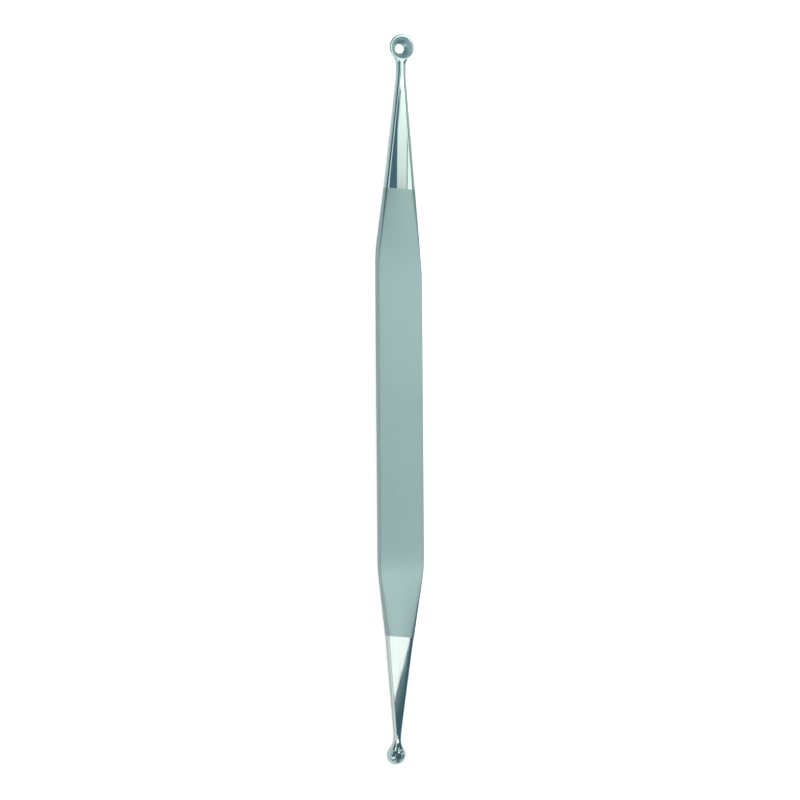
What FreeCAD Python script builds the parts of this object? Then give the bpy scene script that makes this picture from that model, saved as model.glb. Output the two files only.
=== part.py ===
import FreeCAD, Part
import math
import os
import Sketcher

# Double-ended blackhead extractor: a flat satin handle whose two ends are cranked to opposite
# sides, a tapering polished neck on each end, and a small drilled cup on each neck.
# Frame: +Z up from the handle's flat back, +Y along the tool towards the larger cup, +X across.
# The origin is the middle of the handle's back face. Millimetres and degrees.

SIZES = [
    # The handle's flat middle, and the small radius on its four long edges.
    ("handle_length", 52.4),
    ("handle_width", 7.8),
    ("handle_thickness", 2.0),
    ("handle_corner", 0.1),
    # The round spigot that holds each neck in its socket in the handle.
    ("spigot_radius", 0.5),
    ("spigot_length", 5.0),
    ("spigot_clearance", 0.02),
    ("socket_relief", 0.3),
    # The rounding of a cup's lip, where the wall is thick enough for it.
    ("lip_round", 0.08),
    # The end with the larger cup, bent up from the handle.
    ("upper_crank_angle", 4.2),
    ("upper_taper_length", 12.45),
    ("upper_joint_width", 5.45),
    ("upper_joint_thickness", 1.7),
    ("upper_joint_corner", 0.62),
    ("upper_neck_length", 19.0),
    ("upper_stem_length", 1.85),
    ("upper_stem_width", 1.66),
    ("upper_stem_thickness", 1.4),
    ("upper_stem_corner", 0.6),
    ("upper_root_length", 0.88),
    ("upper_cup_radius", 2.17),
    ("upper_near_wall", 0.21),
    ("upper_tip_wall", 0.55),
    ("upper_hole_radius", 0.82),
    # The end with the smaller cup, bent down from the handle.
    ("lower_crank_angle", 6.0),
    ("lower_taper_length", 11.7),
    ("lower_joint_width", 5.0),
    ("lower_joint_thickness", 1.8),
    ("lower_joint_corner", 0.57),
    ("lower_neck_length", 17.4),
    ("lower_stem_length", 0.6),
    ("lower_stem_width", 1.33),
    ("lower_stem_thickness", 1.2),
    ("lower_stem_corner", 0.52),
    ("lower_root_length", 1.3),
    ("lower_cup_radius", 1.74),
    ("lower_near_wall", 0.24),
    ("lower_tip_wall", 0.44),
    ("lower_hole_radius", 0.58),
]

# Each root spreads from stem to cup on a concave arc, drawn through these shares of its length.
ROOT_STEPS = (0.0, 0.4, 0.75, 1.0)
# How a sketch's constraints name its own origin: an element and a point of it.
ORIGIN_POINT = (-1, 1)
LEAST_CHANGE = 1e-6
# The most of a cup's thinnest wall that the rounding of one of its lip's edges may take.
LIP_SHARE = 0.45


def make_sheet(doc):
    """Put every driving size in its own cell, under its own name."""
    sheet = doc.addObject("Spreadsheet::Sheet", "sizes")
    for row, (alias, value) in enumerate(SIZES, start=1):
        sheet.set(f"A{row}", alias)
        sheet.set(f"B{row}", str(value))
        sheet.setAlias(f"B{row}", alias)
    doc.recompute()


def size(name):
    """The expression that reads one cell."""
    return f"sizes.{name}"


def end_sizes(end):
    """The expressions of one end's own sizes, by their names without the end's name."""
    prefix = end + "_"
    return {alias[len(prefix):]: size(alias) for alias, _ in SIZES if alias.startswith(prefix)}


def placement(x="0", y="0", z="0", yaw="0", pitch="0", roll="0"):
    """The expression of a placement from a position and three turns."""
    base = f"create(<<vector>>; {x}; {y}; {z})"
    turn = f"create(<<rotation>>; {yaw}; {pitch}; {roll})"
    return f"create(<<placement>>; {base}; {turn})"


def new_body(doc, label, where):
    body = doc.addObject("PartDesign::Body", label)
    body.Label = label
    body.setExpression("Placement", where)
    return body


def new_sketch(body, name, plane, offset):
    """An empty sketch on one of the body's own planes, moved by an offset expression."""
    sketch = body.newObject("Sketcher::SketchObject", name)
    support = [item for item in body.Origin.OriginFeatures if item.Role == plane][0]
    sketch.AttachmentSupport = [(support, "")]
    sketch.MapMode = "FlatFace"
    sketch.setExpression("AttachmentOffset", offset)
    return sketch


def bind(sketch, constraint, expression):
    """Add one dimension to a sketch and tie it to the sheet."""
    index = sketch.addConstraint(constraint)
    sketch.setExpression(f"Constraints[{index}]", expression)


# Every cross-section is a rectangle with its front face up and its four corners rounded.
def section(width, thickness, corner):
    return {"width": width, "thickness": thickness, "corner": corner}


def handle_section():
    return section(size("handle_width"), size("handle_thickness"), size("handle_corner"))


def joint_section(own):
    return section(own["joint_width"], own["joint_thickness"], own["joint_corner"])


def stem_section(own, width=None):
    """The stem's section, or a wider one of the root with the same corners."""
    return section(width or own["stem_width"], own["stem_thickness"], own["stem_corner"])


def draw_rounded_rectangle(sketch):
    """Four sides, from the front one clockwise, then the corner arcs that follow each of them."""
    sides = (((-2, 3), (2, 3)), ((3, 2), (3, -2)), ((2, -3), (-2, -3)), ((-3, -2), (-3, 2)))
    for start, end in sides:
        sketch.addGeometry(Part.LineSegment(FreeCAD.Vector(*start, 0), FreeCAD.Vector(*end, 0)))
    for quarter, centre in enumerate(((2, 2), (2, -2), (-2, -2), (-2, 2))):
        circle = Part.Circle(FreeCAD.Vector(*centre, 0), FreeCAD.Vector(0, 0, 1), 1)
        start_angle = -quarter * math.pi / 2
        sketch.addGeometry(Part.ArcOfCircle(circle, start_angle, start_angle + math.pi / 2))
    for side in range(4):
        arc = side + 4
        sketch.addConstraint(Sketcher.Constraint("Tangent", side, 2, arc, 2))
        sketch.addConstraint(Sketcher.Constraint("Tangent", (side + 1) % 4, 1, arc, 1))


def section_sketch(body, name, shape, offset):
    """Draw a section across the body's Y axis, centred on the sketch's origin."""
    sketch = new_sketch(body, name, "XZ_Plane", offset)
    draw_rounded_rectangle(sketch)
    front, right, back, left = range(4)
    first_arc, opposite_arc = 4, 6
    for side in (front, back):
        sketch.addConstraint(Sketcher.Constraint("Horizontal", side))
    for side in (right, left):
        sketch.addConstraint(Sketcher.Constraint("Vertical", side))
    for arc in range(first_arc + 1, first_arc + 4):
        sketch.addConstraint(Sketcher.Constraint("Equal", first_arc, arc))
    centres = (first_arc, 3, opposite_arc, 3)
    sketch.addConstraint(Sketcher.Constraint("Symmetric", *centres, *ORIGIN_POINT))
    bind(sketch, Sketcher.Constraint("DistanceX", left, 1, right, 1, 6.0), shape["width"])
    bind(sketch, Sketcher.Constraint("DistanceY", back, 1, front, 2, 6.0), shape["thickness"])
    bind(sketch, Sketcher.Constraint("Radius", first_arc, 1.0), shape["corner"])
    return sketch


def circle_sketch(body, name, plane, offset, radius):
    sketch = new_sketch(body, name, plane, offset)
    sketch.addGeometry(Part.Circle(FreeCAD.Vector(0, 0, 0), FreeCAD.Vector(0, 0, 1), 1.0))
    sketch.addConstraint(Sketcher.Constraint("Coincident", 0, 3, *ORIGIN_POINT))
    bind(sketch, Sketcher.Constraint("Radius", 0, 1.0), radius)
    return sketch


def dome_sketch(body, name, plane, offset, radius):
    """A quarter disc below the sketch's X axis, to be turned about its Y axis into a dome."""
    sketch = new_sketch(body, name, plane, offset)
    centre, rim, pole = (FreeCAD.Vector(*point, 0) for point in ((0, 0), (1, 0), (0, -1)))
    sketch.addGeometry(Part.LineSegment(centre, rim))
    middle = FreeCAD.Vector(0.6, -0.8, 0)
    sketch.addGeometry(Part.Arc(pole, middle, rim))
    sketch.addGeometry(Part.LineSegment(pole, centre))
    joined = ((0, 1, *ORIGIN_POINT), (1, 3, *ORIGIN_POINT), (0, 2, 1, 2), (2, 1, 1, 1), (2, 2, 0, 1))
    for points in joined:
        sketch.addConstraint(Sketcher.Constraint("Coincident", *points))
    sketch.addConstraint(Sketcher.Constraint("Horizontal", 0))
    sketch.addConstraint(Sketcher.Constraint("Vertical", 2))
    bind(sketch, Sketcher.Constraint("Radius", 1, 1.0), radius)
    return sketch


def loft(body, name, sketches, ruled=True):
    feature = body.newObject("PartDesign::AdditiveLoft", name)
    feature.Profile = sketches[0]
    feature.Sections = sketches[1:]
    feature.Ruled = ruled
    return feature


def turned(body, name, kind, sketch):
    """Turn a sketch once round its own upright axis, adding or cutting."""
    feature = body.newObject(f"PartDesign::{kind}", name)
    feature.Profile = sketch
    feature.ReferenceAxis = (sketch, ["V_Axis"])
    feature.Angle = 360
    return feature


def expect_cut(doc, body, before, name):
    """A cut that points away from the solid changes nothing, so compare the volumes."""
    doc.recompute()
    if body.Shape.Volume > before - LEAST_CHANGE:
        raise RuntimeError(f"{name} cut nothing")


def drill(doc, body, name, sketch, depth=None, reverse=False):
    """A round hole to a depth, or right through where no depth is given."""
    doc.recompute()
    before = body.Shape.Volume
    feature = body.newObject("PartDesign::Pocket", name)
    feature.Profile = sketch
    feature.Reversed = reverse
    if depth is None:
        feature.Type = "ThroughAll"
    else:
        feature.setExpression("Length", depth)
    expect_cut(doc, body, before, name)
    return feature


def joint_offset(own, direction):
    """Where a joint's cross-section lies in the handle: out along the end and turned with it."""
    reach = f"{size('handle_length')} / 2 + {own['taper_length']} * cos({own['crank_angle']} * 1 deg)"
    rise = f"{own['taper_length']} * sin({own['crank_angle']} * 1 deg)"
    middle = f"{size('handle_thickness')} / 2"
    return placement(
        y=f"{middle} + {direction} * {rise}",
        z=f"-{direction} * ({reach})",
        roll=own["crank_angle"],
    )


def make_handle(doc, label):
    body = new_body(doc, label, placement())
    middle = f"{size('handle_thickness')} / 2"
    bar = section_sketch(body, "bar_section", handle_section(), placement(y=middle))
    pad = body.newObject("PartDesign::Pad", "bar")
    pad.Profile = bar
    pad.SideType = "Symmetric"
    pad.setExpression("Length", size("handle_length"))
    for end, direction in (("upper", 1), ("lower", -1)):
        own = end_sizes(end)
        shoulder_place = placement(y=middle, z=f"-{direction} * {size('handle_length')} / 2")
        shoulder = section_sketch(body, f"{end}_shoulder", handle_section(), shoulder_place)
        joint = section_sketch(body, f"{end}_joint", joint_section(own), joint_offset(own, direction))
        loft(body, f"{end}_taper", [shoulder, joint])
    for end, direction in (("upper", 1), ("lower", -1)):
        own = end_sizes(end)
        radius = f"{size('spigot_radius')} + {size('spigot_clearance')}"
        depth = f"{size('spigot_length')} + {size('socket_relief')}"
        mouth = circle_sketch(body, f"{end}_mouth", "XZ_Plane", joint_offset(own, direction), radius)
        drill(doc, body, f"{end}_socket", mouth, depth, reverse=direction > 0)
    return body


def end_placement(own, direction):
    """The frame of one end: its origin in the shoulder, its Y axis out along the neck."""
    return placement(
        y=f"{direction} * {size('handle_length')} / 2",
        z=f"{size('handle_thickness')} / 2",
        yaw="0" if direction > 0 else "180",
        roll=f"{direction} * {own['crank_angle']}",
    )


def stem_end(own):
    return f"{own['taper_length']} + {own['neck_length']} + {own['stem_length']}"


def cup_reach(own):
    return f"{stem_end(own)} + {own['root_length']} + {own['cup_radius']}"


def root_arc(own):
    """Radius and length of the arc that touches both the stem's side and the cup's round."""
    half = f"({own['stem_width']} / 2)"
    gap = own["root_length"]
    cup = own["cup_radius"]
    radius = f"(({half} ^ 2 + 2 * {cup} * {gap} + {gap} ^ 2) / (2 * ({cup} - {half})))"
    length = f"(({cup} + {gap}) * {radius} / ({cup} + {radius}))"
    return radius, length


def make_neck(doc, label, end, direction):
    """Taper and stem, the root that spreads to the cup, the spigot, and the cup's round seat."""
    own = end_sizes(end)
    body = new_body(doc, label, end_placement(own, direction))

    def across(name, shape, reach):
        return section_sketch(body, f"{label}_{name}", shape, placement(z=f"-({reach})"))

    taper_end = f"{own['taper_length']} + {own['neck_length']}"
    joint = across("joint", joint_section(own), own["taper_length"])
    stem = across("stem", stem_section(own), taper_end)
    stem_tip = across("stem_tip", stem_section(own), stem_end(own))
    loft(body, f"{label}_taper", [joint, stem, stem_tip])

    radius, length = root_arc(own)
    steps = []
    for number, share in enumerate(ROOT_STEPS):
        run = f"({share} * {length})"
        width = f"{own['stem_width']} + 2 * ({radius} - sqrt({radius} ^ 2 - {run} ^ 2))"
        steps.append(across(f"root_{number}", stem_section(own, width), f"{stem_end(own)} + {run}"))
    loft(body, f"{label}_root", steps, ruled=False)
    inside = f"{stem_end(own)} + {own['root_length']} + {own['cup_radius']} / 2"
    saddle = across("saddle", stem_section(own, width), inside)
    loft(body, f"{label}_saddle", [steps[-1], saddle])

    foot = placement(z=f"-{own['taper_length']}")
    spigot = body.newObject("PartDesign::Pad", f"{label}_spigot")
    spigot.Profile = circle_sketch(body, f"{label}_foot", "XZ_Plane", foot, size("spigot_radius"))
    spigot.setExpression("Length", size("spigot_length"))
    doc.recompute()

    before = body.Shape.Volume
    seat_centre = placement(y=f"{direction} * {own['stem_thickness']} / 2", z=f"-({cup_reach(own)})")
    for side, turn in (("near", "0"), ("far", "180")):
        offset = seat_centre if turn == "0" else f"{seat_centre} * {placement(roll=turn)}"
        half_disc = dome_sketch(body, f"{label}_seat_{side}", "XZ_Plane", offset, own["cup_radius"])
        turned(body, f"{label}_seat_cut_{side}", "Groove", half_disc)
    expect_cut(doc, body, before, f"{label} seat")
    return body


def rim_edges(shape):
    """The names of the two circles at a cup's mouth, which lie in the cup's own XY plane."""
    names = []
    for number, edge in enumerate(shape.Edges, start=1):
        if isinstance(edge.Curve, Part.Circle) and abs(edge.BoundBox.ZMax) < LEAST_CHANGE:
            names.append(f"Edge{number}")
    return names


def make_cup(doc, label, end, direction, neck):
    """A drilled dome with a rounded lip, whose wall is thinner at the neck than at the tip."""
    own = end_sizes(end)
    local = placement(
        y=cup_reach(own),
        z=f"{direction} * {own['stem_thickness']} / 2",
        pitch="0" if direction > 0 else "180",
    )
    body = new_body(doc, label, f"{neck.Name}.Placement * {local}")
    dome = dome_sketch(body, f"{label}_outline", "XZ_Plane", placement(), own["cup_radius"])
    turned(body, f"{label}_dome", "Revolution", dome)
    doc.recompute()

    before = body.Shape.Volume
    hollow_radius = f"{own['cup_radius']} - ({own['near_wall']} + {own['tip_wall']}) / 2"
    shift = f"({own['tip_wall']} - {own['near_wall']}) / 2"
    hollow = dome_sketch(body, f"{label}_hollow", "XZ_Plane", placement(z=shift), hollow_radius)
    turned(body, f"{label}_cavity", "Groove", hollow)
    expect_cut(doc, body, before, f"{label} cavity")

    hole_offset = placement(y=f"-({shift})")
    mouth = circle_sketch(body, f"{label}_mouth", "XY_Plane", hole_offset, own["hole_radius"])
    hole = drill(doc, body, f"{label}_hole", mouth)

    lip = body.newObject("PartDesign::Fillet", f"{label}_lip")
    lip.Base = (hole, rim_edges(hole.Shape))
    thinnest = f"min({own['near_wall']}; {own['tip_wall']})"
    lip.setExpression("Radius", f"min({size('lip_round')}; {LIP_SHARE} * {thinnest})")
    doc.recompute()
    return body


def check(doc, bodies):
    """Stop if anything failed to build, before a file is written."""
    for item in doc.Objects:
        if {"Invalid", "Error"} & set(item.State):
            raise RuntimeError(f"{item.Name} failed: {item.State}")
    for body in bodies:
        shape = body.Shape
        if shape.isNull() or not shape.isValid() or len(shape.Solids) != 1:
            raise RuntimeError(f"{body.Label} is not one valid solid")


def main():
    doc = FreeCAD.newDocument("blackhead_extractor")
    make_sheet(doc)
    bodies = [make_handle(doc, "handle")]
    for end, direction in (("upper", 1), ("lower", -1)):
        neck = make_neck(doc, f"{end}_neck", end, direction)
        cup = make_cup(doc, f"{end}_cup", end, direction, neck)
        bodies += [neck, cup]
    doc.recompute()
    check(doc, bodies)
    os.makedirs("parts", exist_ok=True)
    for body in bodies:
        body.Shape.exportStep(f"parts/{body.Label}.step")
        box = body.Shape.optimalBoundingBox(False, False)
        print(f"{body.Label}: {body.Shape.Volume:.2f} mm3, X {box.XMin:.2f} to {box.XMax:.2f},"
              f" Y {box.YMin:.2f} to {box.YMax:.2f}, Z {box.ZMin:.2f} to {box.ZMax:.2f}")


main()
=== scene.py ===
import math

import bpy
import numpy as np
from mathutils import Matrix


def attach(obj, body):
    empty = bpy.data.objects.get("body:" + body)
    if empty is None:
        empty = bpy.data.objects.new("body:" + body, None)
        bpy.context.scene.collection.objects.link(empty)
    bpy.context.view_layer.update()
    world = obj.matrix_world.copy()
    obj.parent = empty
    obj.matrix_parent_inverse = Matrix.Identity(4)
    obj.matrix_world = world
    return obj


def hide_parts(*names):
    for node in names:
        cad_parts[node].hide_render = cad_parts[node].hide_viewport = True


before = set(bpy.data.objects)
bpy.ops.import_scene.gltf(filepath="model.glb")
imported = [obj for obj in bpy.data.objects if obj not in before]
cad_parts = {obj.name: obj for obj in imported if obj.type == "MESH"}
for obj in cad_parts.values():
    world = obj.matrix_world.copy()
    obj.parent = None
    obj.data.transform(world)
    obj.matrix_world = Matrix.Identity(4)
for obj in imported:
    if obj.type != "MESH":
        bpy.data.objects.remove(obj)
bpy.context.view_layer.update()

# %% [markdown]
# # A double-ended blackhead extractor
# The tool is a flat satin steel bar with a polished neck and a small drilled cup on each end.
# One end bends a little towards the viewer and its cup opens that way, the other does the opposite.
# The solids made in CAD give every size. Here each one is covered by a finer surface of the same
# form, because polish shows each facet, and a smooth grid of points has none.

print("solids:", sorted(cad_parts))

# %% [markdown]
# ## Sizes
# These are the sizes of the real tool in millimetres, the same as in the CAD source. The origin is
# the middle of the handle's flat back, +Y runs to the larger cup and +Z out of the front. Both ends
# have the same form, so each is a short table, and one function can build either. Blender works in
# metres, so the finished points are multiplied by MM.

# %% Sizes in millimetres and degrees
MM = 0.001
HALF_LENGTH = 26.2
HANDLE = dict(half_width=3.9, half_thickness=1.0, corner=0.1)
UPPER = dict(
    side=1, crank=4.2, taper=12.45, half_width=2.725, half_thickness=0.85, corner=0.62,
    neck=19.0, stem=1.85, stem_half_width=0.83, stem_half_thickness=0.7, stem_corner=0.66,
    root=0.88, cup=2.17, near_wall=0.21, tip_wall=0.55, hole=0.82, crown=20.0, slant=0.07,
)
LOWER = dict(
    side=-1, crank=6.0, taper=11.7, half_width=2.5, half_thickness=0.9, corner=0.57,
    neck=17.4, stem=0.6, stem_half_width=0.665, stem_half_thickness=0.6, stem_corner=0.56,
    root=1.3, cup=1.74, near_wall=0.24, tip_wall=0.44, hole=0.58, crown=20.0, slant=0.12,
)
print("handle", HANDLE["half_width"] * 2, "mm wide")

# %% [markdown]
# ## From a grid of points to a mesh
# Every piece is a grid: rows along the piece, columns round it. Quads join each point to its
# neighbours, and the last column joins the first. A bar is closed by a fan of triangles at each
# end, and a drilled cup needs none, because its last row meets its first, like a ring's. The signed
# volume tells which way the faces look: where it comes out negative, each face is read backwards.
# All faces are shaded smooth, and the edges round a bar's two ends are marked sharp, so that the
# smoothing stops there.

# %% Mesh from a grid
def six_volumes(points, faces):
    """Six times the volume inside the faces: the sum of p0 . (p1 x p2) over all their triangles."""
    corners = points[faces]
    volume = np.einsum("ij,ij->", corners[:, 0], np.cross(corners[:, 1], corners[:, 2]))
    if faces.shape[1] == 4:
        volume += np.einsum("ij,ij->", corners[:, 0], np.cross(corners[:, 2], corners[:, 3]))
    return volume


def skin(name, grid, end_points=None):
    """A closed mesh: quads between the grid's neighbours, columns wrapped round, and either the rows
    wrapped too or each end row drawn to one end point by a fan of triangles."""
    rows, columns, _ = grid.shape
    index = np.arange(rows * columns).reshape(rows, columns)
    points = grid.reshape(-1, 3)
    nearer = index if end_points is None else index[:-1]
    farther = np.roll(index, -1, axis=0) if end_points is None else index[1:]
    corners = [nearer, np.roll(nearer, -1, 1), np.roll(farther, -1, 1), farther]
    quads = np.stack(corners, -1).reshape(-1, 4)
    fans = np.zeros((0, 3), int)
    if end_points is not None:
        first, last = len(points), len(points) + 1
        points = np.vstack([points, end_points])
        start = np.stack([np.full(columns, first), np.roll(index[0], -1), index[0]], -1)
        stop = np.stack([np.full(columns, last), index[-1], np.roll(index[-1], -1)], -1)
        fans = np.vstack([start, stop])
    if six_volumes(points, quads) + six_volumes(points, fans) < 0:
        quads, fans = quads[:, ::-1], fans[:, ::-1]
    mesh = bpy.data.meshes.new(name)
    mesh.from_pydata((points * MM).tolist(), [], quads.tolist() + fans.tolist())
    mesh.shade_smooth()
    if end_points is not None:
        pairs = np.empty(len(mesh.edges) * 2, int)
        mesh.edges.foreach_get("vertices", pairs)
        row = pairs.reshape(-1, 2) // columns
        mesh.edges.foreach_set("use_edge_sharp", (row == 0).all(1) | (row == rows - 1).all(1))
    piece = bpy.data.objects.new(name, mesh)
    bpy.context.scene.collection.objects.link(piece)
    print(name, len(mesh.vertices), "points", len(mesh.polygons), "faces")
    return piece

# %% [markdown]
# ## The cross-section
# Handle and necks share one section, a rectangle with rounded corners. It could be drawn as lines
# and arcs, but a neater way is to slide a small disc round a rectangle: each column of the grid has a
# place on the rectangle, from -1 to 1 across and up, and an angle on the disc. A row then only needs
# its half width, half thickness and corner radius. Polished faces are never quite flat, so a crown
# lowers the front and back towards their edges.

# %% Columns of the section and the section itself
def section_columns(corner=9, face=21, edge=5):
    """For each column: place across and up on the rectangle, from -1 to 1, and angle on the disc."""
    quarter = np.linspace(0, math.pi / 2, corner)
    wide = np.linspace(1, -1, face)[1:-1]
    narrow = np.linspace(-1, 1, edge)[1:-1]
    bend, flat, side = np.ones(corner), np.ones(face - 2), np.ones(edge - 2)
    across = [side, bend, wide, -bend, -side, -bend, -wide, bend]
    up = [narrow, bend, flat, bend, -narrow, -bend, -flat, -bend]
    turn = [side * 0, quarter, flat * math.pi / 2, quarter + math.pi / 2,
            side * math.pi, quarter + math.pi, flat * 1.5 * math.pi, quarter + 1.5 * math.pi]
    return tuple(np.concatenate(part)[None, :] for part in (across, up, turn))


ACROSS, UP, TURN = section_columns()


def section(half_width, half_thickness, corner, drop=0.0):
    """Sideways and upward place of every point: the rectangle's place times its half size less the
    corner radius, plus the radius along the disc's angle. The crown takes drop * (x / half width)^2."""
    x = ACROSS * (half_width - corner) + corner * np.cos(TURN)
    z = UP * (half_thickness - corner) + corner * np.sin(TURN)
    return x, z - drop * np.sin(TURN) * (x / half_width) ** 2


def ramp(distance, softness=1.0):
    """0 before a bend and the distance after it, rounded over: (d + sqrt(d^2 + s^2)) / 2."""
    return (distance + np.sqrt(distance ** 2 + softness ** 2)) / 2


print(ACROSS.size, "columns round a section")

# %% [markdown]
# ## The handle
# A flat bar about 8 mm wide and 2 mm thick, ground narrower towards both ends, where its edges get
# rounder, and bent up at one end and down at the other. It is the section carried along a path that
# is straight but for two soft bends. On the real tool the shoulder of the upper end is ground a
# little out of square and the line where satin meets polish runs a little slantwise, so the width
# starts to fall at a slightly different place in each column, and the last rows are sheared.

# %% Handle surface
def end_reach(end):
    """How far along the tool the handle's end lies, after the bend."""
    return HALF_LENGTH + end["taper"] * math.cos(math.radians(end["crank"]))


def handle_grid(rows=260, uneven=0.95, bend_softness=3.0):
    """Rows from joint to joint; each size goes from the bar's to the joint's with the soft ramp, and
    the path leaves the bar's middle with the slope tan(crank) beyond each shoulder, in a softer bend."""
    y = np.linspace(-end_reach(LOWER), end_reach(UPPER), rows)[:, None]
    sizes = {key: value + 0 * y * ACROSS for key, value in HANDLE.items()}
    drop, shear = 0 * y, 0 * y
    height, slope = HANDLE["half_thickness"] + 0 * y, 0 * y
    for end in (UPPER, LOWER):
        side, reach = end["side"], end_reach(end)
        shoulder = HALF_LENGTH - (uneven * (ACROSS + UP) if side > 0 else 0)
        share = ramp(side * y - shoulder) / ramp(reach - shoulder)
        for key in sizes:
            sizes[key] = sizes[key] + (end[key] - HANDLE[key]) * share
        even = ramp(side * y - HALF_LENGTH) / ramp(reach - HALF_LENGTH)
        drop = drop + even * end["half_width"] ** 2 / (2 * end["crown"])
        shear = shear + even ** 3 * end["slant"]
        rise = side * math.tan(math.radians(end["crank"])) * (reach - HALF_LENGTH)
        whole = ramp(reach - HALF_LENGTH, bend_softness)
        bend = rise * ramp(side * y - HALF_LENGTH, bend_softness) / whole
        height = height + bend
        slope = slope + np.gradient(bend[:, 0], y[:, 0])[:, None]
    x, z = section(sizes["half_width"], sizes["half_thickness"], sizes["corner"], drop)
    length = np.sqrt(1 + slope ** 2)
    along = y - z * slope / length - shear * x
    return np.stack([x + 0 * y, along, height + z / length], -1), height


grid, height = handle_grid()
ends = [(0, -end_reach(LOWER), height[0, 0]), (0, end_reach(UPPER), height[-1, 0])]
handle = skin("handle_bar", grid, ends)

# %% [markdown]
# ## An end's own axis
# Necks and cups are built straight, along an axis of their own that starts at the shoulder, and then
# turned by the crank. That keeps their formulas simple. Each cup's lip is level with the face of the
# stem that it grows from.

# %% From an end's axis to the tool
def to_tool(end, x, along, up):
    """From an end's own axis to the tool: turned by the crank about the middle of the shoulder."""
    sin, cos = math.sin(math.radians(end["crank"])), math.cos(math.radians(end["crank"]))
    y = end["side"] * (HALF_LENGTH + along * cos) - up * sin
    z = HANDLE["half_thickness"] + end["side"] * along * sin + up * cos
    return np.stack(np.broadcast_arrays(x, y, z), -1)


def cup_centre(end):
    """The middle of a cup's ball: along the end's own axis and up from it, level with the lip."""
    along = end["taper"] + end["neck"] + end["stem"] + end["root"] + end["cup"]
    return along, end["side"] * end["stem_half_thickness"]


print("cups' middles along and up, in mm:", cup_centre(UPPER), cup_centre(LOWER))

# %% [markdown]
# ## The necks
# Each neck tapers in a straight line from the handle's end to a stem about 1.5 mm across, then
# spreads on a concave arc that touches the cup's round. Each column of the root stops on the cup's
# ball at its own depth, so that the neck sits on the cup without cutting into it: the front runs on
# into the lip, the sides fall away from it, and towards the cup's round back the root swells in a
# hollow curve.

# %% Neck surface
def arc_rise(run, radius, length):
    """How far an arc has left its straight: r - sqrt(r^2 - run^2)."""
    return radius - np.sqrt(radius ** 2 - np.clip(run, 0, length) ** 2)


def neck_grid(end, rows=150, root_rows=40, swell=0.36, lip_corner=0.45, softness=0.8, passes=30):
    """Rows along the taper and stem, then root rows out to the ball. At a column's height the ball is a
    circle of radius R, a gap g beyond the stem of half width h, and the arc that touches both has the
    radius r = (h^2 + 2 R g + g^2) / (2 (R - h)) and the length (R + g) r / (R + r). Towards the cup's
    back the root gains swell * t^2, and towards its lip the corners get a little tighter. Where a
    column stops depends on how far out it is, and the other way round, so a few passes settle both."""
    half, deep = end["stem_half_width"], end["stem_half_thickness"]
    stem_start = end["taper"] + end["neck"]
    stem_end = stem_start + end["stem"]
    centre, rim = cup_centre(end)
    back_side = np.clip(-UP * end["side"], 0, 1) * (1 - ACROSS ** 2)
    root_corner = np.where(UP * end["side"] > 0, lip_corner, end["stem_corner"])
    level = section(half, deep, root_corner)[1] + UP * swell * back_side
    ball = np.sqrt(end["cup"] ** 2 - (level - rim) ** 2)
    gap = centre - ball - stem_end
    radius = (half ** 2 + 2 * ball * gap + gap ** 2) / (2 * (ball - half))
    length = (ball + gap) * radius / (ball + radius)

    seat = centre - ball
    for _ in range(passes):
        x = section(half + arc_rise(seat - stem_end, radius, length), deep, root_corner)[0]
        seat = centre - np.sqrt(np.maximum(ball ** 2 - x ** 2, 0))
    part = np.linspace(0, 1, root_rows + 1)[1:, None]
    along = np.vstack([np.linspace(end["taper"], stem_end, rows)[:, None] + 0 * seat,
                       stem_end + part * (seat - stem_end)])
    left = ramp(stem_start - along, softness) / ramp(end["neck"], softness)
    done = np.clip((along - stem_end) / (seat - stem_end), 0, 1)
    half_width = half + (end["half_width"] - half) * left + arc_rise(along - stem_end, radius, length)
    half_thickness = deep + (end["half_thickness"] - deep) * left
    corner = end["stem_corner"] + (end["corner"] - end["stem_corner"]) * left
    corner = corner + (root_corner - corner) * done ** 2
    drop = half_width ** 2 / (2 * end["crown"]) * (1 - done)
    x, z = section(half_width, half_thickness, corner, drop)
    z = z + UP * swell * back_side * done ** 2
    shear = end["slant"] * end["side"] * x * np.clip(left, 0, 1) ** 3
    ends = to_tool(end, np.zeros(2), np.array([end["taper"], centre - end["cup"]]), np.zeros(2))
    return to_tool(end, x, along - shear, z), ends


upper_neck = skin("upper_neck_polished", *neck_grid(UPPER))
lower_neck = skin("lower_neck_polished", *neck_grid(LOWER))

# %% [markdown]
# ## The cups
# A cup is half a ball, hollowed by a smaller half ball that lies nearer to the neck, so the wall is
# thin at the neck and thick at the tip, and a hole is drilled through its bottom. Going out of the
# hole, over the outside, round the lip and down the inside leads back to the hole, so the surface
# closes like a ring: each row is a circle with its own radius, height and middle. The lip is
# rounded, most at the tip and hardly where the neck's front runs into it. The hollow is milled and
# only wiped with polish, so its points are marked, and the finish is duller there.

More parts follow.
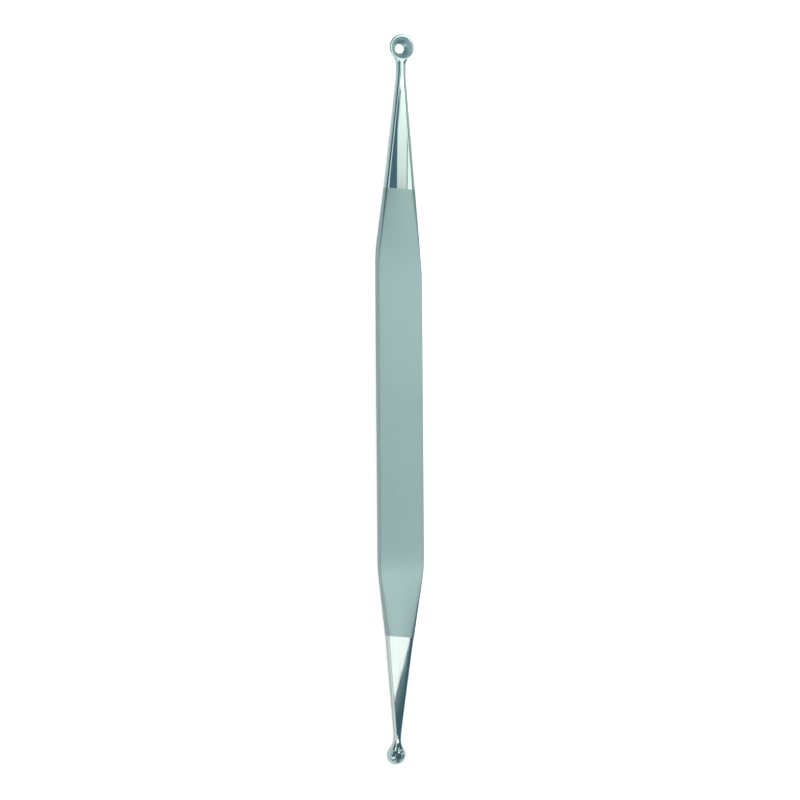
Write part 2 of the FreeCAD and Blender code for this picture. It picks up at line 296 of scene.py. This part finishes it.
# %% Cup surface
def cup_grid(end, columns=160, steps=40, turns=9, lip=0.1, sharp_lip=0.01, edge=0.03, edge_depth=0.02,
             neck_from=0.75, neck_to=0.95):
    """Circles r (cos a, sin a) about the hole's middle or the cup's: on both balls the height is
    -sqrt(R^2 - distance^2), and the lip's two corners are quarter circles between them. The outer one
    has the radius lip * (2 + sin a), and the sharp lip's where -sin a shows that the neck is near."""
    angle = np.linspace(0, 2 * math.pi, columns, endpoint=False)[None, :]
    beside_neck = np.clip((-np.sin(angle) - neck_from) / (neck_to - neck_from), 0, 1)
    beside_neck = beside_neck ** 2 * (3 - 2 * beside_neck)
    outer_lip = lip * (2 + np.sin(angle)) * (1 - beside_neck) + sharp_lip * beside_neck
    lip_rows = 2 * (turns - 1)
    outer, hole = end["cup"], end["hole"]
    inner = outer - (end["near_wall"] + end["tip_wall"]) / 2
    shift = (end["tip_wall"] - end["near_wall"]) / 2
    same = np.ones_like(angle)
    turn = np.linspace(0, math.pi / 2, turns)[:, None]
    part = np.linspace(0, 1, steps)[:, None]

    start, stop = math.asin((hole + edge) / outer), np.arccos(outer_lip / outer)
    outside = outer * np.sin(start + (stop - start) * part)
    climb = (outside[-1:] - outer_lip * (1 - np.cos(turn)))[1:]
    start, stop = math.acos(lip / inner), math.asin((hole + edge) / inner)
    inside = inner * np.sin(start + (stop - start) * part) * same
    fall = (inside[:1] + lip * (1 - np.cos(turn[::-1])))[:-1]
    bore = np.full((2, 1), hole) * same

    rings = [(outside, shift * (1 - part) ** 2), (climb, 0),
             (fall, shift), (inside, shift), (bore, shift)]
    x, y = (np.vstack(values) for values in zip(*[
        (radius * np.cos(angle), radius * np.sin(angle) - middle) for radius, middle in rings]))
    on_outer = -np.sqrt(np.maximum(outer ** 2 - x ** 2 - y ** 2, 0))
    on_inner = -np.sqrt(np.maximum(inner ** 2 - x ** 2 - (y + shift) ** 2, 0))
    climb_height = outer_lip * (np.sin(turn[1:]) - 1)
    fall_height = lip * (np.sin(turn[::-1][:-1]) - 1) * same
    z = np.vstack([on_outer[:steps], climb_height, fall_height, on_inner[steps + lip_rows:-2],
                   on_inner[-2:-1] - edge_depth, on_outer[-1:] + edge_depth])
    hollow = np.vstack([0 * x[:steps + lip_rows], 0 * x[steps + lip_rows:] + 1])
    centre, rim = cup_centre(end)
    return to_tool(end, x, centre + y, rim + end["side"] * z), hollow


def cup(name, end):
    """A cup's mesh, with its hollow marked by 1 and the rest by 0."""
    grid, hollow = cup_grid(end)
    piece = skin(name, grid)
    piece.data.attributes.new("hollow", "FLOAT", "POINT").data.foreach_set("value", hollow.ravel())
    return piece


upper_cup = cup("upper_cup_polished", UPPER)
lower_cup = cup("lower_cup_polished", LOWER)

# %% [markdown]
# ## What both finishes need
# Both finishes are metals that vary a little from place to place. A few functions make the nodes for
# that: noise on the tool's own coordinates, a number or a colour that follows the noise, and a fine
# relief. Noise keeps mostly to the middle of its range, so only that part is spread out.

# %% Metal, noise and relief
NOISE_LOW, NOISE_HIGH = 0.3, 0.7


def steel(name, colour, roughness):
    """A metal with one colour and roughness, its node tree and its shader."""
    material = bpy.data.materials.new(name)
    material.use_nodes = True
    tree = material.node_tree
    shader = tree.nodes["Principled BSDF"]
    shader.inputs["Base Color"].default_value = (*colour, 1)
    shader.inputs["Metallic"].default_value = 1.0
    shader.inputs["Roughness"].default_value = roughness
    return material, tree, shader


def noise(tree, scale, detail, stretch=(1, 1, 1)):
    """Noise on the object's own coordinates in metres, stretched along any axis."""
    place = tree.nodes.new("ShaderNodeTexCoord")
    mapping = tree.nodes.new("ShaderNodeMapping")
    mapping.inputs["Scale"].default_value = stretch
    grain = tree.nodes.new("ShaderNodeTexNoise")
    grain.inputs["Scale"].default_value = scale
    grain.inputs["Detail"].default_value = detail
    tree.links.new(place.outputs["Object"], mapping.inputs["Vector"])
    tree.links.new(mapping.outputs["Vector"], grain.inputs["Vector"])
    return grain.outputs["Fac"]


def spread(tree, factor, low, high):
    """A number from low to high as the noise goes over its usual range."""
    node = tree.nodes.new("ShaderNodeMapRange")
    node.inputs["From Min"].default_value = NOISE_LOW
    node.inputs["From Max"].default_value = NOISE_HIGH
    node.inputs["To Min"].default_value = low
    node.inputs["To Max"].default_value = high
    tree.links.new(factor, node.inputs["Value"])
    return node.outputs["Result"]


def tones(tree, factor, dark, light):
    """A colour between two, chosen by the noise."""
    node = tree.nodes.new("ShaderNodeValToRGB")
    node.color_ramp.elements[0].position = NOISE_LOW
    node.color_ramp.elements[1].position = NOISE_HIGH
    node.color_ramp.elements[0].color = (*dark, 1)
    node.color_ramp.elements[1].color = (*light, 1)
    tree.links.new(factor, node.inputs["Fac"])
    return node.outputs["Color"]


def relief(tree, shader, factor, depth, strength):
    """Tiny pits or marks of a depth in metres."""
    bump = tree.nodes.new("ShaderNodeBump")
    bump.inputs["Strength"].default_value = strength
    bump.inputs["Distance"].default_value = depth
    tree.links.new(factor, bump.inputs["Height"])
    tree.links.new(bump.outputs["Normal"], shader.inputs["Normal"])


print("noise is spread from", NOISE_LOW, "to", NOISE_HIGH)

# %% [markdown]
# ## Satin steel
# The handle is blasted: thousands of tiny pits scatter the light, so the face is an even, soft
# grey-green with no mirror image in it. A rough metal shader gives that; fine noise varies the
# roughness and the height, and a slow noise shifts the tone by a few percent along the bar.

# %% Satin steel
satin, tree, shader = steel("satin_steel_look", (0.274, 0.402, 0.376), 0.35)
slow_noise = noise(tree, scale=90, detail=3)
tone = tones(tree, slow_noise, dark=(0.269, 0.395, 0.369), light=(0.279, 0.409, 0.383))
tree.links.new(tone, shader.inputs["Base Color"])
dullness = spread(tree, noise(tree, scale=9000, detail=2), low=0.32, high=0.38)
tree.links.new(dullness, shader.inputs["Roughness"])
relief(tree, shader, noise(tree, scale=22000, detail=1), depth=0.000002, strength=0.4)
print("satin steel:", len(tree.nodes), "nodes")

# %% [markdown]
# ## Polished steel
# Necks and cups are buffed almost to a mirror. What one sees on them is the room: bright where a
# lamp stands, dark where none does. The shader is a nearly smooth metal, and noise drawn out along
# the tool gives the faint lengthwise marks that a polishing wheel leaves. The marked hollow of a
# cup is rougher and a little bluer, so it mirrors the room only as a blur.

# %% Polished steel
HOLLOW_COLOUR = (0.45, 0.6, 0.6, 1)
HOLLOW_ROUGHNESS = 0.3
polish, tree, shader = steel("polished_steel_look", (0.42, 0.57, 0.53), 0.03)
along = (1, 0.02, 1)
hollow = tree.nodes.new("ShaderNodeAttribute")
hollow.attribute_name = "hollow"

colour = tree.nodes.new("ShaderNodeMixRGB")
colour.inputs["Color2"].default_value = HOLLOW_COLOUR
streaks = noise(tree, scale=2500, detail=2, stretch=along)
wheel_marks = tones(tree, streaks, dark=(0.405, 0.555, 0.515), light=(0.435, 0.585, 0.545))
tree.links.new(hollow.outputs["Fac"], colour.inputs["Fac"])
tree.links.new(wheel_marks, colour.inputs["Color1"])
tree.links.new(colour.outputs["Color"], shader.inputs["Base Color"])

gloss = tree.nodes.new("ShaderNodeMapRange")
gloss.inputs["To Max"].default_value = HOLLOW_ROUGHNESS
tree.links.new(hollow.outputs["Fac"], gloss.inputs["Value"])
wear = spread(tree, noise(tree, scale=4000, detail=2, stretch=along), low=0.02, high=0.05)
tree.links.new(wear, gloss.inputs["To Min"])
tree.links.new(gloss.outputs["Result"], shader.inputs["Roughness"])

scratches = noise(tree, scale=3000, detail=1, stretch=along)
relief(tree, shader, scratches, depth=0.000001, strength=0.1)
print("polished steel:", len(tree.nodes), "nodes")

# %% [markdown]
# ## Dressing the solids
# Each surface stands for the CAD solid below it: it rides on the tool's one body, takes its finish,
# and hides the solid in pictures.

# %% Finishes, and which solid each surface stands for
dressed = [
    (handle, "handle", satin, "satin_steel"),
    (upper_neck, "upper_neck", polish, "polished_steel"),
    (upper_cup, "upper_cup", polish, "polished_steel"),
    (lower_neck, "lower_neck", polish, "polished_steel"),
    (lower_cup, "lower_cup", polish, "polished_steel"),
]
for piece, node, material, slot in dressed:
    piece.data.materials.append(material)
    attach(piece, "root")
    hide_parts(node)
    print(piece.name, "stands for", node)

# %% [markdown]
# ## The camera
# The picture looks almost straight down on the tool, from 16 degrees to its left and a third of a
# metre away. The tool lies a little askew in it, so the camera is rolled by half a degree. The
# lights below use the camera's directions: towards it, to its right and up the picture.

# %% Camera
LEAN = math.radians(16)
ROLL = math.radians(-0.46)
LENS = 84.24
DISTANCE = 0.32
AIM_ALONG, AIM_RIGHT = 2.615, 0.0735
TOWARDS = np.array([-math.sin(LEAN), 0, math.cos(LEAN)])
RIGHT = np.array([math.cos(LEAN), 0, math.sin(LEAN)])
UPWARDS = np.array([0.0, 1.0, 0.0])
AIM = (np.array([0, AIM_ALONG, HANDLE["half_thickness"]]) + AIM_RIGHT * RIGHT) * MM

rolled_right = math.cos(ROLL) * RIGHT + math.sin(ROLL) * UPWARDS
rolled_up = math.cos(ROLL) * UPWARDS - math.sin(ROLL) * RIGHT
camera_data = bpy.data.cameras.new("camera")
camera_data.lens = LENS
camera_data.clip_start = 0.01
camera = bpy.data.objects.new("camera", camera_data)
axes = np.column_stack([rolled_right, rolled_up, TOWARDS, AIM + DISTANCE * TOWARDS])
camera.matrix_world = Matrix(axes.tolist() + [[0, 0, 0, 1]])
bpy.context.scene.collection.objects.link(camera)
bpy.context.scene.camera = camera
print("camera at", np.round(axes[:, 3], 4))

# %% [markdown]
# ## White paper
# The floor is white paper: a plain diffuse white, and a steady glow for whatever looks at it directly
# or in a reflection, so that it stays white and still keeps the soft shadow under the tool. Where the
# tool closes it in, as under a cup, the white gives way to painted shade, a dim dark blue-grey glow:
# the open room above each place tells where.

# %% White paper
def calculate(tree, operation, *terms):
    """A sum or product in a node tree; each term is a number or another node's output."""
    node = tree.nodes.new("ShaderNodeMath")
    node.operation = operation
    for socket, term in zip(node.inputs, terms):
        if isinstance(term, float):
            socket.default_value = term
        else:
            tree.links.new(term, socket)
    return node.outputs["Value"]


def glowing_white(tree, white=0.85, glow=0.7, mirrored=0.6):
    """Diffuse white plus a glow: all of it for the camera, a share for reflections, none as a lamp."""
    path = tree.nodes.new("ShaderNodeLightPath")
    glossy, clear = path.outputs["Is Glossy Ray"], path.outputs["Is Transmission Ray"]
    reflected = calculate(tree, "MAXIMUM", glossy, clear)
    seen = calculate(tree, "MULTIPLY_ADD", reflected, mirrored, path.outputs["Is Camera Ray"])
    shine = tree.nodes.new("ShaderNodeEmission")
    tree.links.new(calculate(tree, "MULTIPLY", seen, glow), shine.inputs["Strength"])
    lit = tree.nodes.new("ShaderNodeBsdfDiffuse")
    lit.inputs["Color"].default_value = (white, white, white, 1)
    both = tree.nodes.new("ShaderNodeAddShader")
    tree.links.new(lit.outputs["BSDF"], both.inputs[0])
    tree.links.new(shine.outputs["Emission"], both.inputs[1])
    return both.outputs["Shader"]


def openness(tree, distance=3 * MM, closed=0.15, wide=0.45):
    """0 where the tool closes the floor in within the distance, and 1 where it lies open: the mask of
    the floor's painted shade.
    """
    sky = tree.nodes.new("ShaderNodeAmbientOcclusion")
    sky.inputs["Distance"].default_value = distance
    opening = tree.nodes.new("ShaderNodeMapRange")
    opening.interpolation_type = "SMOOTHSTEP"
    opening.inputs["From Min"].default_value = closed
    opening.inputs["From Max"].default_value = wide
    tree.links.new(sky.outputs["AO"], opening.inputs["Value"])
    return opening.outputs["Result"]


def paper(shade=(0.05, 0.095, 0.115)):
    """White paper where it lies open, and painted shade, a dark blue-grey glow, where it is closed in.
    """
    material = bpy.data.materials.new("white_paper")
    material.use_nodes = True
    tree = material.node_tree
    tree.nodes.remove(tree.nodes["Principled BSDF"])
    # Painted shade: a dim dark blue-grey glow stands in for the shadow on the floor under a cup and
    # along the tool's resting edge.
    painted_shade_glow = tree.nodes.new("ShaderNodeEmission")
    painted_shade_glow.inputs["Color"].default_value = (*shade, 1)
    look = tree.nodes.new("ShaderNodeMixShader")
    tree.links.new(openness(tree), look.inputs["Fac"])
    tree.links.new(painted_shade_glow.outputs["Emission"], look.inputs[1])
    tree.links.new(glowing_white(tree), look.inputs[2])
    tree.links.new(look.outputs["Shader"], tree.nodes["Material Output"].inputs["Surface"])
    return material


white_paper = paper()
print("white paper:", len(white_paper.node_tree.nodes), "nodes")

# %% [markdown]
# ## Floor
# The tool rests on two places: the back edge of the upper shoulder and the rim of the smaller cup.
# The floor is the plane through both, a hair lower, so that it doesn't cut the tool.

# %% Floor
FLOOR_REACH = 12.0
CLEARANCE = 0.01 * MM


def plain_sheet(name, corners, material):
    """A flat face of the surroundings, which isn't part of the tool."""
    mesh = bpy.data.meshes.new(name)
    mesh.from_pydata(corners, [], [tuple(range(len(corners)))])
    mesh.materials.append(material)
    sheet = bpy.data.objects.new(name, mesh)
    bpy.context.scene.collection.objects.link(sheet)
    return sheet


lowest_rim = to_tool(LOWER, 0.0, cup_centre(LOWER)[0] + LOWER["cup"], cup_centre(LOWER)[1])
rise = -lowest_rim[2] / (HALF_LENGTH - lowest_rim[1])
outline = [(-FLOOR_REACH, -FLOOR_REACH), (FLOOR_REACH, -FLOOR_REACH),
           (FLOOR_REACH, FLOOR_REACH), (-FLOOR_REACH, FLOOR_REACH)]
corners = [(x, y, (y - HALF_LENGTH * MM) * rise - CLEARANCE) for x, y in outline]
plain_sheet("floor", corners, white_paper)
print("floor slope", round(math.degrees(math.atan(rise)), 2), "degrees")

# %% [markdown]
# ## Cards
# A card is a sheet that glows and that the camera doesn't see. It is given by the directions of its
# corners, as an angle to the right of the camera and one up the picture.

# %% Cards
def direction(angle, height):
    """A direction: angle to the right of the camera and height up the picture, in degrees."""
    a, h = math.radians(angle), math.radians(height)
    return math.cos(h) * (math.cos(a) * TOWARDS + math.sin(a) * RIGHT) + math.sin(h) * UPWARDS


def pane(left, right, top, bottom):
    """The corners of a card with two upright and two level edges, from the top left one round."""
    return [(left, top), (right, top), (right, bottom), (left, bottom)]


def card(name, corners, strengths, colour=(1, 1, 1), distance=10.0):
    """A sheet that glows with one strength, or with a strength at each corner and a slope between."""
    material = bpy.data.materials.new(name)
    material.use_nodes = True
    tree = material.node_tree
    tree.nodes.remove(tree.nodes["Principled BSDF"])
    glow = tree.nodes.new("ShaderNodeAttribute")
    glow.attribute_name = "glow"
    shine = tree.nodes.new("ShaderNodeEmission")
    shine.inputs["Color"].default_value = (*colour, 1)
    tree.links.new(glow.outputs["Fac"], shine.inputs["Strength"])
    tree.links.new(shine.outputs["Emission"], tree.nodes["Material Output"].inputs["Surface"])
    points = [tuple(AIM + distance * direction(*corner)) for corner in corners]
    sheet = plain_sheet(name, points, material)
    values = np.broadcast_to(np.float32(strengths), len(corners)).copy()
    sheet.data.attributes.new("glow", "FLOAT", "POINT").data.foreach_set("value", values)
    sheet.visible_camera = False


print("up the picture is", direction(0, 90).round(3))

# %% [markdown]
# ## Lights
# Polish needs something to mirror. The room is dim and bluish, and glowing cards stand round the tool
# in it. The key cards stand to the right: the upper ones draw the bright band on the upper neck, with
# a thin seam in it, and the low ones the flare on the lower neck. A dark blue gap and a card near the
# camera draw the bands beside it. Larger, duller cards to the left, to the right and above light the
# satin bar, a cream and a pink one warm the lower neck, and those beyond the ends and low on the
# right light the tool for views from other sides.

# %% Lights
KEY_TINT = (1, 0.9, 0.885)
card("key_low", [(5, -17), (44, -17), (44, -20.2), (42.4, -20.6), (39.3, -21.15), (37.2, -21.53),
                 (34.1, -21.94), (31.4, -22.32), (21, -23.7), (5, -24.9)], 2.07, (1, 0.82, 0.84))
card("key_low_foot", [(21, -23.7), (44, -20.4), (45, -21.1), (21, -24.5)], (0.4, 0.4, 0.16, 0.16),
     (0.7, 0.9, 1))
card("key_low_top", pane(5, 44, -12, -17), 5.6, (1, 0.95, 0.95))
card("key_left_foot", pane(28.1, 38, 0.1, -1.1), (1.5, 1.5, 0.88, 0.88), KEY_TINT)
card("key_left", [(31.4, 2.5), (38, 2.5), (38, 0.1), (28.1, 0.1), (28.1, 1.2), (29.8, 1.85)],
     (1.95, 1.95, 1.5, 1.5, 1.71, 1.83), KEY_TINT)
card("key_seam", pane(38, 39.3, 2.5, -1.1), 0.6)
card("key_right", pane(39.3, 48, 2.5, -1.1), 1.8, (1, 0.93, 0.92))
card("key_top", pane(27, 48, 30, 2.5), (2.5, 2.5, 3.25, 3.25), (1, 0.955, 0.955))
card("blue_gap", pane(17.5, 28.1, 14, -5), 1, (0.14, 0.22, 0.3))
card("camera_card", pane(2, 17.5, 14, -3), 1.4)
card("left_card", pane(-80, -37, 46, 3), 0.76)
card("left_low", pane(-80, -52, 3, -15), 0.9)
card("right_card", pane(62, 107, 16, -3), 0.75)
card("right_top", pane(35, 105, 62, 28), 0.95)
card("cream_card", pane(-65, -20, -15, -42), (1.3, 1.3, 2.0, 2.0), (1, 0.82, 0.82))
card("pink_card", pane(-20, 3, -15, -35), 1.05, (1, 0.78, 0.8))
card("beyond_upper_end", [(angle, 46) for angle in range(0, 360, 30)], 0.9)
card("beyond_lower_end", [(angle, -58) for angle in range(20, -180, -40)], 0.85)
card("right_low", pane(66, 114, -30, -60), 0.6)

# %% [markdown]
# ## The room
# Where no card stands, the polish mirrors a dim, bluish room. Colours are shown as they are, with no
# film curve over them.

# %% Room
world = bpy.data.worlds.new("room")
bpy.context.scene.world = world
world.use_nodes = True
background = world.node_tree.nodes["Background"]
background.inputs["Color"].default_value = (0.1, 0.17, 0.25, 1)
background.inputs["Strength"].default_value = 1.0
bpy.context.scene.view_settings.view_transform = "Standard"
print("room:", tuple(background.inputs["Color"].default_value))
